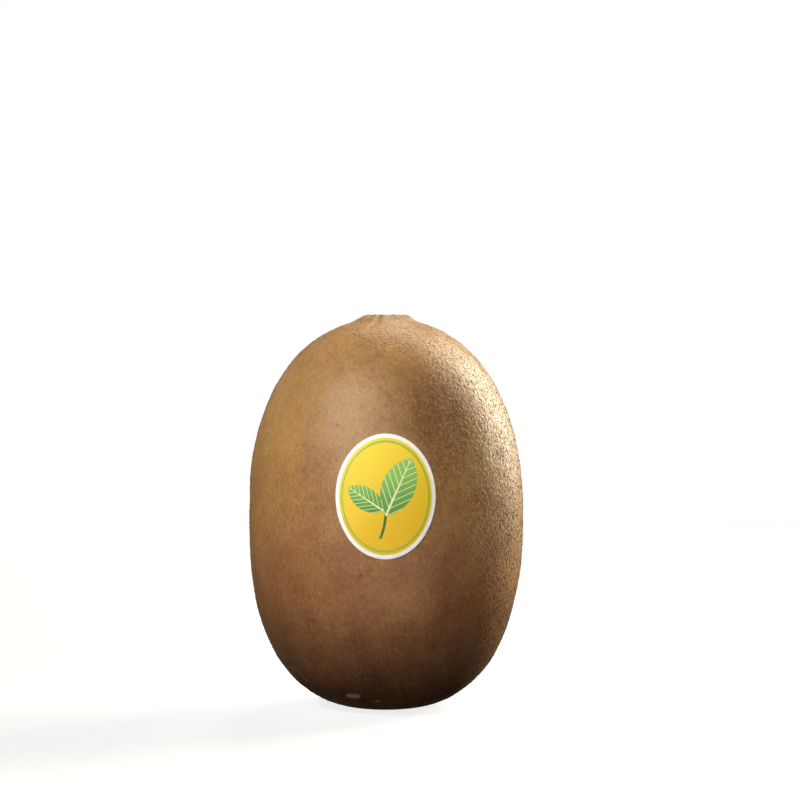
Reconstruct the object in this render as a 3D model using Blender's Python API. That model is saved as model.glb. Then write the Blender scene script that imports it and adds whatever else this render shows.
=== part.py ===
"""A whole golden kiwi fruit, standing on the small flat spot at its blossom end.

The fruit is one solid: an oval body with a low collar and a shallow scar where the stem was, and a
flat foot with a small pit where the flower was. A thin paper label lies on its front.

Frame: metres, +Z up along the fruit's axis, -Y towards the label, origin at the middle of the foot.
"""

import math

import bmesh
import bpy

MM = 0.001

# Overall size, on the label's side (X), front to back (Y) and along the fruit's axis (Z)
WIDTH = 52.0 * MM
DEPTH = 50.0 * MM
EQUATOR_HEIGHT = 39.2 * MM  # height of the widest ring above the foot

# The body is half of one superellipse above the equator and half of another below it:
# (radius / half width) ** AROUND + (height from equator / reach) ** ALONG = 1
UPPER_REACH = 34.5 * MM
UPPER_AROUND = 2.25
UPPER_ALONG = 2.06
LOWER_AROUND = 2.65
LOWER_ALONG = 2.68

# The foot, which is flat, and the pit of the flower in its middle
FOOT_RADIUS = 6.6 * MM  # where the body would meet the ground if its edge there were sharp
FOOT_BLEND = 0.25 * MM  # height over which the body rounds into the flat
PIT_RADIUS = 2.6 * MM
PIT_DEPTH = 0.7 * MM

# The stem end: a collar that rises round a shallow dish, with the stub of the stem in its middle
COLLAR_CREST = 3.7 * MM
COLLAR_FOOT = 6.6 * MM
COLLAR_RISE = 0.80 * MM
DISH_RADIUS = 3.4 * MM
DISH_FLOOR = 2.3 * MM
DISH_DEPTH = 1.15 * MM
STUB_RADIUS = 1.9 * MM
STUB_TOP = 1.2 * MM
STUB_RISE = 0.55 * MM

# How far the grown form strays from a turned one
LEAN_BACK = 0.45 * MM  # how far the middle bows towards the back
FLATTER_SIDES = 0.006  # share of the radius, twice round
THREE_LOBES = 0.004  # share of the radius, three times round
LOBE_TURN = math.radians(35)

# The label, an upright oval
LABEL_WIDTH = 18.2 * MM
LABEL_HEIGHT = 23.1 * MM
LABEL_MIDDLE = 41.3 * MM  # height of its middle above the foot
LABEL_GAP = 0.30 * MM
LABEL_THICKNESS = 0.15 * MM
LABEL_RINGS = 6
LABEL_SEGMENTS = 40

# Mesh density
SEGMENTS = 64
STEM_END_RINGS = 14
BODY_RINGS = 36
PIT_RINGS = 4
DENSE_STEPS = 600


def smooth_fall(radius: float, inner: float, outer: float) -> float:
    """1 inside inner, 0 outside outer, and a smooth fall between them."""
    share = min(max((outer - radius) / (outer - inner), 0.0), 1.0)
    return share * share * (3 - 2 * share)


def upper_height(radius: float) -> float:
    """Height above the equator of the upper superellipse at this radius."""
    inside = 1 - (radius / (WIDTH / 2)) ** UPPER_AROUND
    return UPPER_REACH * max(inside, 0.0) ** (1 / UPPER_ALONG)


def stem_end_height(radius: float) -> float:
    """Height above the equator of the top of the fruit, with its collar, dish and stub."""
    collar = COLLAR_RISE * smooth_fall(radius, COLLAR_CREST, COLLAR_FOOT)
    dish = DISH_DEPTH * smooth_fall(radius, DISH_FLOOR, DISH_RADIUS)
    stub = STUB_RISE * smooth_fall(radius, STUB_TOP, STUB_RADIUS)
    return upper_height(radius) + collar - dish + stub


def lower_reach() -> float:
    """Reach of the lower superellipse that has FOOT_RADIUS at the height of the ground."""
    inside = 1 - (FOOT_RADIUS / (WIDTH / 2)) ** LOWER_AROUND
    return EQUATOR_HEIGHT / inside ** (1 / LOWER_ALONG)


def lower_radius(height: float) -> float:
    """Radius of the lower superellipse at this height above the ground."""
    inside = 1 - ((EQUATOR_HEIGHT - height) / lower_reach()) ** LOWER_ALONG
    return WIDTH / 2 * inside ** (1 / LOWER_AROUND)


def rounded_to_ground(height: float) -> float:
    """A height bent smoothly to zero as it comes from FOOT_BLEND above the ground to as far below."""
    if height > FOOT_BLEND:
        return height
    return (height + FOOT_BLEND) ** 2 / (4 * FOOT_BLEND)


def evenly_spaced(points: list[tuple[float, float]], count: int) -> list[tuple[float, float]]:
    """count points at equal distances along a line of (radius, height) points, both ends included."""
    lengths = [0.0]
    for (r0, z0), (r1, z1) in zip(points, points[1:]):
        lengths.append(lengths[-1] + math.hypot(r1 - r0, z1 - z0))
    spaced, segment = [], 0
    for step in range(count):
        wanted = lengths[-1] * step / (count - 1)
        while segment < len(points) - 2 and lengths[segment + 1] < wanted:
            segment += 1
        share = (wanted - lengths[segment]) / (lengths[segment + 1] - lengths[segment])
        (r0, z0), (r1, z1) = points[segment], points[segment + 1]
        spaced.append((r0 + share * (r1 - r0), z0 + share * (z1 - z0)))
    return spaced


def flank_line() -> list[tuple[float, float]]:
    """A dense line down the side of the fruit, from the collar's foot to the edge of the flat."""
    line = []
    start = math.asin((COLLAR_FOOT / (WIDTH / 2)) ** (UPPER_AROUND / 2))
    for step in range(DENSE_STEPS):
        turn = start + (math.pi / 2 - start) * step / DENSE_STEPS
        radius = WIDTH / 2 * math.sin(turn) ** (2 / UPPER_AROUND)
        line.append((radius, EQUATOR_HEIGHT + upper_height(radius)))
    lowest = -FOOT_BLEND
    for step in range(DENSE_STEPS + 1):
        turn = math.pi / 2 * step / DENSE_STEPS
        height = lowest + (EQUATOR_HEIGHT - lowest) * (1 - math.sin(turn))
        line.append((lower_radius(height), rounded_to_ground(height)))
    return line


def fruit_profile() -> list[tuple[float, float]]:
    """The turned outline as (radius, height) points, from the stem's stub to the flower's pit."""
    steps = [COLLAR_FOOT * step / STEM_END_RINGS for step in range(STEM_END_RINGS)]
    stem_end = [(radius, EQUATOR_HEIGHT + stem_end_height(radius)) for radius in steps]
    body = evenly_spaced(flank_line(), BODY_RINGS)
    foot = [((body[-1][0] + PIT_RADIUS) / 2, 0.0)]
    pit = []
    for step in range(PIT_RINGS + 1):
        radius = PIT_RADIUS * (1 - step / PIT_RINGS)
        pit.append((radius, PIT_DEPTH * (1 - (radius / PIT_RADIUS) ** 2)))
    return stem_end + body + foot + pit


def grown(x: float, y: float, z: float) -> tuple[float, float, float]:
    """Where a point of the turned form lies on the grown one: oval, faintly lobed and bowed back."""
    around = math.atan2(y, x)
    height_share = min(z / (2 * EQUATOR_HEIGHT), 1.0)
    middle = math.sin(math.pi * height_share) ** 2 if 0 < height_share < 1 else 0.0
    lobes = FLATTER_SIDES * math.cos(2 * (around - LOBE_TURN))
    lobes += THREE_LOBES * math.cos(3 * around + LOBE_TURN)
    radius = math.hypot(x, y) * (1 + lobes * middle)
    return (
        radius * math.cos(around),
        radius * math.sin(around) * DEPTH / WIDTH + LEAN_BACK * (middle - 0.5),
        z,
    )


def new_object(name: str, mesh: bpy.types.Mesh) -> bpy.types.Object:
    """Links a new object that holds this mesh."""
    obj = bpy.data.objects.new(name, mesh)
    bpy.context.scene.collection.objects.link(obj)
    return obj


def plain_material(
    name: str, colour: tuple[float, float, float], roughness: float
) -> bpy.types.Material:
    """A Principled material of one colour."""
    material = bpy.data.materials.new(name)
    material.use_nodes = True
    shader = material.node_tree.nodes["Principled BSDF"]
    shader.inputs["Base Color"].default_value = (*colour, 1.0)
    shader.inputs["Roughness"].default_value = roughness
    shader.inputs["Metallic"].default_value = 0.0
    return material


def turned(line: list[tuple[float, float]], steps: int) -> bmesh.types.BMesh:
    """A line of (radius, height) points spun round the axis into one mesh."""
    bm = bmesh.new()
    verts = [bm.verts.new((radius, 0.0, height)) for radius, height in line]
    edges = [bm.edges.new(pair) for pair in zip(verts, verts[1:])]
    bmesh.ops.spin(
        bm,
        geom=verts + edges,
        cent=(0, 0, 0),
        axis=(0, 0, 1),
        angle=2 * math.pi,
        steps=steps,
        use_merge=True,
    )
    bmesh.ops.remove_doubles(bm, verts=bm.verts, dist=0.01 * MM)
    return bm


def make_fruit() -> bpy.types.Object:
    """The fruit: its outline spun round the axis, then given its grown form."""
    bm = turned(fruit_profile(), SEGMENTS)
    for vert in bm.verts:
        vert.co = grown(*vert.co)
    bmesh.ops.recalc_face_normals(bm, faces=bm.faces)
    mesh = bpy.data.meshes.new("kiwi_fruit")
    bm.to_mesh(mesh)
    bm.free()
    mesh.shade_smooth()
    mesh.materials.append(plain_material("skin", (0.30, 0.17, 0.075), 0.5))
    return new_object("kiwi_fruit", mesh)


def make_label(fruit: bpy.types.Object) -> bpy.types.Object:
    """The label: an oval disc of rings in front of the fruit, laid on it and given its thickness."""
    bm = turned([(ring / LABEL_RINGS, 0.0) for ring in range(LABEL_RINGS + 1)], LABEL_SEGMENTS)
    for vert in bm.verts:
        across, up, _ = vert.co
        vert.co = (across * LABEL_WIDTH / 2, -DEPTH, LABEL_MIDDLE + up * LABEL_HEIGHT / 2)
    for face in bm.faces:
        face.normal_update()
        if face.normal.y > 0:
            face.normal_flip()
    mesh = bpy.data.meshes.new("fruit_label")
    bm.to_mesh(mesh)
    bm.free()
    mesh.shade_smooth()
    mesh.materials.append(plain_material("label_paper", (0.90, 0.62, 0.06), 0.45))
    label = new_object("fruit_label", mesh)

    laid = label.modifiers.new("laid_on_fruit", "SHRINKWRAP")
    laid.target = fruit
    laid.wrap_method = "PROJECT"
    laid.use_project_y = True
    laid.use_positive_direction = True
    laid.use_negative_direction = False
    laid.wrap_mode = "ABOVE_SURFACE"
    laid.offset = LABEL_GAP + LABEL_THICKNESS
    thick = label.modifiers.new("paper_thickness", "SOLIDIFY")
    thick.thickness = LABEL_THICKNESS
    thick.offset = -1.0
    return label


def main() -> None:
    """Clears the scene and builds the fruit with its label."""
    for obj in list(bpy.data.objects):
        bpy.data.objects.remove(obj)
    fruit = make_fruit()
    make_label(fruit)


main()
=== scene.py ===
"""The looks of a whole golden kiwi fruit that stands on its blossom end and wears a paper label.

The fruit's skin is turned from the same outline as its solid and then roughened as grown skin is. On
it lie the corky scar of the stem, the dried remains of the flower, a short down and the label.
Everything is in metres, +Z up along the fruit's axis, with the label towards -Y.
"""

import logging
import math
from contextlib import contextmanager
from dataclasses import dataclass
from enum import Enum
from typing import Iterator, Mapping, Sequence

import bpy
import numpy as np
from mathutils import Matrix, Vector


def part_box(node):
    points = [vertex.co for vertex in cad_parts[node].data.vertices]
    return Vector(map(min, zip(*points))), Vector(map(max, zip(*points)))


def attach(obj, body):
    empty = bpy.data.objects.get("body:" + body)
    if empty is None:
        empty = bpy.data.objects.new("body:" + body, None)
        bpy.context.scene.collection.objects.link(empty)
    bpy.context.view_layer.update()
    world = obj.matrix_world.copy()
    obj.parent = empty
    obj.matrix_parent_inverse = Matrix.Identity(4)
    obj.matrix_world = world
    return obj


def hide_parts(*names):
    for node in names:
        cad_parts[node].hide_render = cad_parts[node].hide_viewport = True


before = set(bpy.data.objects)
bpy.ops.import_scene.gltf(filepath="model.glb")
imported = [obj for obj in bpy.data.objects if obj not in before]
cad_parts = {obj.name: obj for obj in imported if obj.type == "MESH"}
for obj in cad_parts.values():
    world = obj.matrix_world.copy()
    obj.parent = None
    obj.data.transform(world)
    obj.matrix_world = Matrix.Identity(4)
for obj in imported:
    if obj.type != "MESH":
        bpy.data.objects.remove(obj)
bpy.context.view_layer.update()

MM = 0.001
BODY = "root"
FULL_TURN = 2 * math.pi
LOG = logging.getLogger("golden_kiwi")

Source = bpy.types.NodeSocket | float | Sequence[float] | str
Spot = tuple[float, float, float]
Span = tuple[float, float]  # where an effect starts and where it is full
Waves = tuple[tuple[float, int, float], ...]  # strength, number round the axis, start


class Slot(Enum):
    """Names of material slots; no piece here takes its finish from them."""

    SKIN = "skin"
    SCAR = "stem_scar"
    FLOWER = "dried_flower"
    DOWN = "down"
    LABEL = "label_paper"


# ---------------------------------------------------------------------------------------------
# Bench: the few moves that every piece needs
# ---------------------------------------------------------------------------------------------


def hold(piece: bpy.types.Object) -> None:
    """Makes a piece the only selected object and the active one."""
    bpy.ops.object.select_all(action="DESELECT")
    piece.select_set(True)
    bpy.context.view_layer.objects.active = piece


def named(name: str) -> bpy.types.Object:
    """Names the object that was just added, and its mesh, and returns it."""
    piece = bpy.context.active_object
    piece.name = name
    piece.data.name = name
    return piece


@contextmanager
def editing(piece: bpy.types.Object) -> Iterator[None]:
    """Edit mode on one piece, with all of it selected at the start."""
    hold(piece)
    bpy.ops.object.mode_set(mode="EDIT")
    bpy.ops.mesh.select_all(action="SELECT")
    try:
        yield
    finally:
        bpy.ops.object.mode_set(mode="OBJECT")


def settle(piece: bpy.types.Object) -> None:
    """Moves a piece's place, turn and size into its mesh, so that its object is at the origin."""
    hold(piece)
    bpy.ops.object.transform_apply(location=True, rotation=True, scale=True)


def work(piece: bpy.types.Object, kind: str, **settings: object) -> None:
    """Adds one modifier to a piece and applies it.

    Args:
        piece: The piece to change.
        kind: The modifier's type.
        settings: Its properties.
    """
    modifier = piece.modifiers.new(kind.lower(), kind)
    for name, value in settings.items():
        setattr(modifier, name, value)
    hold(piece)
    bpy.ops.object.modifier_apply(modifier=modifier.name)


def roughen(piece: bpy.types.Object, size: float, height: float, depth: int = 1) -> None:
    """Pushes a piece's surface in and out by a cloud of unevenness.

    Args:
        piece: The piece to change.
        size: How wide the swellings are, in metres.
        height: How far the surface moves from its lowest to its highest, in metres.
        depth: How many finer layers the cloud has.
    """
    cloud = bpy.data.textures.new(f"{piece.name}_cloud", type="CLOUDS")
    cloud.noise_scale = size
    cloud.noise_depth = depth
    work(piece, "DISPLACE", texture=cloud, texture_coords="LOCAL", strength=height, mid_level=0.5)


def points_of(piece: bpy.types.Object) -> np.ndarray:
    """The places of a piece's vertices, one row each."""
    flat = np.empty(len(piece.data.vertices) * 3)
    piece.data.vertices.foreach_get("co", flat)
    return flat.reshape(-1, 3)


def move_points(piece: bpy.types.Object, points: np.ndarray) -> None:
    """Puts a piece's vertices at new places."""
    piece.data.vertices.foreach_set("co", points.reshape(-1))
    piece.data.update()


def planted(pattern: bpy.types.Object, places: np.ndarray, name: str) -> bpy.types.Object:
    """Copies one small piece to many places and makes a single mesh of the copies.

    Args:
        pattern: The piece to copy. It is removed afterwards.
        places: One 4 by 4 matrix for each copy.
        name: The name of the new piece.

    Returns:
        The new piece.
    """
    points = points_of(pattern)
    faces = [tuple(face.vertices) for face in pattern.data.polygons]
    padded = np.column_stack((points, np.ones(len(points))))
    spread = np.einsum("nij,vj->nvi", places[:, :3, :], padded).reshape(-1, 3)
    starts = range(0, len(spread), len(points))
    copies = [tuple(start + index for index in face) for start in starts for face in faces]
    mesh = bpy.data.meshes.new(name)
    mesh.from_pydata(spread, [], copies)
    mesh.shade_smooth()
    bpy.data.objects.remove(pattern)
    piece = bpy.data.objects.new(name, mesh)
    bpy.context.scene.collection.objects.link(piece)
    return piece


def smooth_fall(distance: np.ndarray | float, inner: float, outer: float) -> np.ndarray:
    """1 inside inner, 0 outside outer, and a smooth fall between them."""
    share = np.clip((outer - distance) / (outer - inner), 0.0, 1.0)
    return share * share * (3 - 2 * share)


def rippled(around: np.ndarray, waves: Waves) -> np.ndarray:
    """The sum of some waves that run round the axis."""
    return sum(strength * np.cos(number * around + start) for strength, number, start in waves)


# ---------------------------------------------------------------------------------------------
# Finishes
# ---------------------------------------------------------------------------------------------


def ink(code: str) -> tuple[float, float, float, float]:
    """A colour written as six hexadecimal digits, in the linear values that shaders take."""
    shares = [int(code[start : start + 2], 16) / 255 for start in (0, 2, 4)]
    linear = [s / 12.92 if s <= 0.04045 else ((s + 0.055) / 1.055) ** 2.4 for s in shares]
    return (*linear, 1.0)


class Sheet:
    """A shader's node tree, with short ways to add and join its nodes."""

    def __init__(self, tree: bpy.types.NodeTree) -> None:
        """Takes the node tree to work in."""
        self.tree = tree

    def add(
        self, kind: str, inputs: Mapping[str | int, Source] | None = None, **settings: object
    ) -> bpy.types.Node:
        """Adds one node.

        Args:
            kind: The node's type, without its ShaderNode prefix.
            inputs: What goes into its sockets: another node's socket or a plain value.
            settings: Its properties.

        Returns:
            The new node.
        """
        node = self.tree.nodes.new(f"ShaderNode{kind}")
        for name, value in settings.items():
            setattr(node, name, value)
        for key, source in (inputs or {}).items():
            self.feed(node.inputs[key], source)
        return node

    def feed(self, socket: bpy.types.NodeSocket, source: Source) -> None:
        """Joins a socket to another one, or sets its plain value."""
        if isinstance(source, bpy.types.NodeSocket):
            self.tree.links.new(source, socket)
        else:
            socket.default_value = source

    def math(self, operation: str, *values: Source) -> bpy.types.NodeSocket:
        """The result of one arithmetic step."""
        return self.add("Math", dict(enumerate(values)), operation=operation).outputs[0]

    def ramp(self, value: Source, low: float, high: float) -> bpy.types.NodeSocket:
        """0 where value is at low and 1 where it is at high, with a smooth rise between them."""
        inputs = {"Value": value, "From Min": low, "From Max": high}
        return self.add("MapRange", inputs, interpolation_type="SMOOTHSTEP").outputs[0]

    def mix(self, share: Source, first: Source, second: Source) -> bpy.types.NodeSocket:
        """A colour between two colours."""
        inputs = {0: share, 6: first, 7: second}
        return self.add("Mix", inputs, data_type="RGBA").outputs[2]

    def noise(
        self, place: Source, size: float, detail: float = 2.0, rough: float = 0.5
    ) -> bpy.types.NodeSocket:
        """A field of noise whose features are about size wide, in metres."""
        inputs = {"Vector": place, "Scale": 1 / size, "Detail": detail, "Roughness": rough}
        return self.add("TexNoise", inputs).outputs["Fac"]

    def place(self) -> bpy.types.NodeSocket:
        """The place on the piece, in metres."""
        return self.add("TexCoord").outputs["Object"]

    def axes(self, place: Source) -> bpy.types.NodeOutputs:
        """The place's parts along X, Y and Z."""
        return self.add("SeparateXYZ", {0: place}).outputs

    def stretched(self, place: Source, scale: Sequence[float]) -> bpy.types.NodeSocket:
        """The place with each axis scaled, to draw a pattern out along one of them."""
        return self.add("Mapping", {"Vector": place, "Scale": scale}).outputs[0]

    def bent(
        self, place: Source, scale: Source, detail: float, reach: float
    ) -> bpy.types.NodeSocket:
        """The place moved by noise, by up to reach, so that a pattern on it isn't regular."""
        noise = self.add("TexNoise", {"Vector": place, "Scale": scale, "Detail": detail})
        push = {0: noise.outputs["Color"], "Scale": reach}
        shift = self.add("VectorMath", push, operation="SCALE").outputs[0]
        return self.add("VectorMath", {0: place, 1: shift}, operation="ADD").outputs[0]

    def distance(
        self, place: Source, spot: Sequence[float], scale: Sequence[float]
    ) -> bpy.types.NodeSocket:
        """How far the place is from a spot, with each axis scaled."""
        offset = self.add("VectorMath", {0: place, 1: spot}, operation="SUBTRACT").outputs[0]
        scaled = self.stretched(offset, scale)
        return self.add("VectorMath", {0: scaled}, operation="LENGTH").outputs["Value"]

    def tint(
        self, under: Source, code: str, mask: Source, share: float
    ) -> bpy.types.NodeSocket:
        """A colour with another one laid over it, which covers share of it where mask is 1."""
        return self.mix(self.math("MULTIPLY", mask, share), under, ink(code))

    def emboss(
        self, shader: bpy.types.Node, height: Source, depth: float, strength: float = 1.0
    ) -> None:
        """Gives a shader a relief whose height of 1 stands for depth, in metres."""
        bump = self.add("Bump", {"Strength": strength, "Distance": depth, "Height": height})
        self.feed(shader.inputs["Normal"], bump.outputs[0])


class Effect:
    """A shader effect that several finishes use: a node group, made once."""

    made: dict[str, bpy.types.NodeTree] = {}

    name = "effect"
    takes: tuple[tuple[str, str], ...] = ()
    gives: tuple[tuple[str, str], ...] = ()

    @classmethod
    def group(cls) -> bpy.types.NodeTree:
        """The node group, made at the first call."""
        if cls.name not in Effect.made:
            tree = bpy.data.node_groups.new(cls.name, "ShaderNodeTree")
            for name, kind in cls.takes:
                tree.interface.new_socket(name, in_out="INPUT", socket_type=f"NodeSocket{kind}")
            for name, kind in cls.gives:
                tree.interface.new_socket(name, in_out="OUTPUT", socket_type=f"NodeSocket{kind}")
            sheet = Sheet(tree)
            given = tree.nodes.new("NodeGroupInput").outputs
            result = cls.draw(sheet, given)
            end = tree.nodes.new("NodeGroupOutput").inputs
            for name, source in result.items():
                sheet.feed(end[name], source)
            Effect.made[cls.name] = tree
        return Effect.made[cls.name]

    @classmethod
    def draw(cls, sheet: Sheet, given: bpy.types.NodeOutputs) -> dict[str, Source]:
        """Fills the group. Each effect has its own."""
        raise NotImplementedError

    @classmethod
    def use(cls, sheet: Sheet, **inputs: Source) -> bpy.types.NodeOutputs:
        """Places the effect in a finish.

        Args:
            sheet: The finish's node tree.
            inputs: What goes into the group's sockets, with _ for a space in a socket's name.

        Returns:
            The group node's outputs.
        """
        node = sheet.add("Group", node_tree=cls.group())
        for name, source in inputs.items():
            sheet.feed(node.inputs[name.replace("_", " ")], source)
        return node.outputs


class Mottle(Effect):
    """Soft uneven patches in two sizes, as a share from 0 to 1."""

    name = "mottle"
    takes = (("Place", "Vector"), ("Size", "Float"), ("Spread", "Float"))
    gives = (("Share", "Float"),)
    times_finer = 3.7
    narrow_weight = 0.45

    @classmethod
    def draw(cls, sheet: Sheet, given: bpy.types.NodeOutputs) -> dict[str, Source]:
        """Adds a wide and a narrow noise and spreads the sum about its middle."""
        scale = sheet.math("DIVIDE", 1.0, given["Size"])
        wide = sheet.add("TexNoise", {"Vector": given["Place"], "Scale": scale, "Detail": 3.0})
        finer = sheet.math("MULTIPLY", scale, cls.times_finer)
        narrow = sheet.add("TexNoise", {"Vector": given["Place"], "Scale": finer, "Detail": 2.0})
        both = sheet.math(
            "MULTIPLY_ADD", narrow.outputs["Fac"], cls.narrow_weight, wide.outputs["Fac"]
        )
        off_middle = sheet.math("SUBTRACT", both, 0.5 * (1 + cls.narrow_weight))
        share = sheet.math("MULTIPLY_ADD", off_middle, given["Spread"], 0.5)
        clamped = sheet.add("Clamp", {"Value": share})
        return {"Share": clamped.outputs[0]}


class Specks(Effect):
    """Small round spots scattered over a surface, each of its own strength."""

    name = "specks"
    takes = (
        ("Place", "Vector"),
        ("Spacing", "Float"),
        ("Width", "Float"),
        ("Chance", "Float"),
    )
    gives = (("Mask", "Float"), ("Strength", "Float"))
    wobble = 0.3 * MM

    @classmethod
    def draw(cls, sheet: Sheet, given: bpy.types.NodeOutputs) -> dict[str, Source]:
        """One spot at the middle of some cells of a loose net."""
        scale = sheet.math("DIVIDE", 1.0, given["Spacing"])
        moved = sheet.bent(given["Place"], scale, 1.0, cls.wobble)
        net = sheet.add("TexVoronoi", {"Vector": moved, "Scale": scale, "Randomness": 1.0})
        apart = sheet.math("MULTIPLY", net.outputs["Distance"], given["Spacing"])
        edge = sheet.math("DIVIDE", apart, given["Width"])
        spot = sheet.ramp(edge, 0.5, 0.2)
        parts = sheet.add("SeparateColor", {"Color": net.outputs["Color"]})
        kept = sheet.math("LESS_THAN", parts.outputs[0], given["Chance"])
        mask = sheet.math("MULTIPLY", spot, kept)
        return {"Mask": mask, "Strength": parts.outputs[1]}


class Grain(Effect):
    """The relief of a leathery surface: shallow cells with finer grit on them, as a height."""

    name = "grain"
    takes = (("Place", "Vector"), ("Size", "Float"), ("Grit", "Float"))
    gives = (("Height", "Float"),)
    wobble = 0.6 * MM
    times_finer = 2.3

    @classmethod
    def draw(cls, sheet: Sheet, given: bpy.types.NodeOutputs) -> dict[str, Source]:
        """Rounded cells of the given size, bent out of line, plus noise."""
        scale = sheet.math("DIVIDE", 1.0, given["Size"])
        moved = sheet.bent(given["Place"], scale, 2.0, cls.wobble)
        cells = sheet.add(
            "TexVoronoi",
            {"Vector": moved, "Scale": scale, "Smoothness": 0.8},
            feature="SMOOTH_F1",
        )
        domed = sheet.math("SUBTRACT", 1.0, cells.outputs["Distance"])
        finer = sheet.math("MULTIPLY", scale, cls.times_finer)
        grit = sheet.add(
            "TexNoise",
            {"Vector": given["Place"], "Scale": finer, "Detail": 3.0, "Roughness": 0.6},
        )
        height = sheet.math("MULTIPLY_ADD", grit.outputs["Fac"], given["Grit"], domed)
        return {"Height": height}


@dataclass(frozen=True)
class Finish:
    """What every finish has: its name and the constants of its shader.

    Its roughness is the lowest on the piece, and the range is what the dullest places add to it.
    """

    name: str = "finish"
    roughness: float = 0.5
    roughness_range: float = 0.15
    specular: float = 0.5
    sheen: float = 0.0
    sheen_roughness: float = 0.5
    sheen_colour: str = "FFFFFF"
    coat: float = 0.0
    coat_roughness: float = 0.3

    def material(self) -> bpy.types.Material:
        """Builds the finish as a material."""
        material = bpy.data.materials.new(self.name)
        material.use_nodes = True
        shader = material.node_tree.nodes["Principled BSDF"]
        shader.inputs["Specular IOR Level"].default_value = self.specular
        shader.inputs["Sheen Weight"].default_value = self.sheen
        shader.inputs["Sheen Roughness"].default_value = self.sheen_roughness
        shader.inputs["Sheen Tint"].default_value = ink(self.sheen_colour)
        shader.inputs["Coat Weight"].default_value = self.coat
        shader.inputs["Coat Roughness"].default_value = self.coat_roughness
        self.dress(Sheet(material.node_tree), shader)
        return material

    def dress(self, sheet: Sheet, shader: bpy.types.Node) -> None:
        """Draws what changes over the surface. Each finish has its own."""
        raise NotImplementedError

    def dull(self, sheet: Sheet, shader: bpy.types.Node, share: Source) -> None:
        """Spreads the roughness over its range, by a share from 0 to 1."""
        rough = sheet.math("MULTIPLY_ADD", share, self.roughness_range, self.roughness)
        sheet.feed(shader.inputs["Roughness"], rough)

    def on(self, piece: bpy.types.Object) -> None:
        """Gives a piece this finish and no other."""
        piece.data.materials.clear()
        piece.data.materials.append(self.material())


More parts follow.
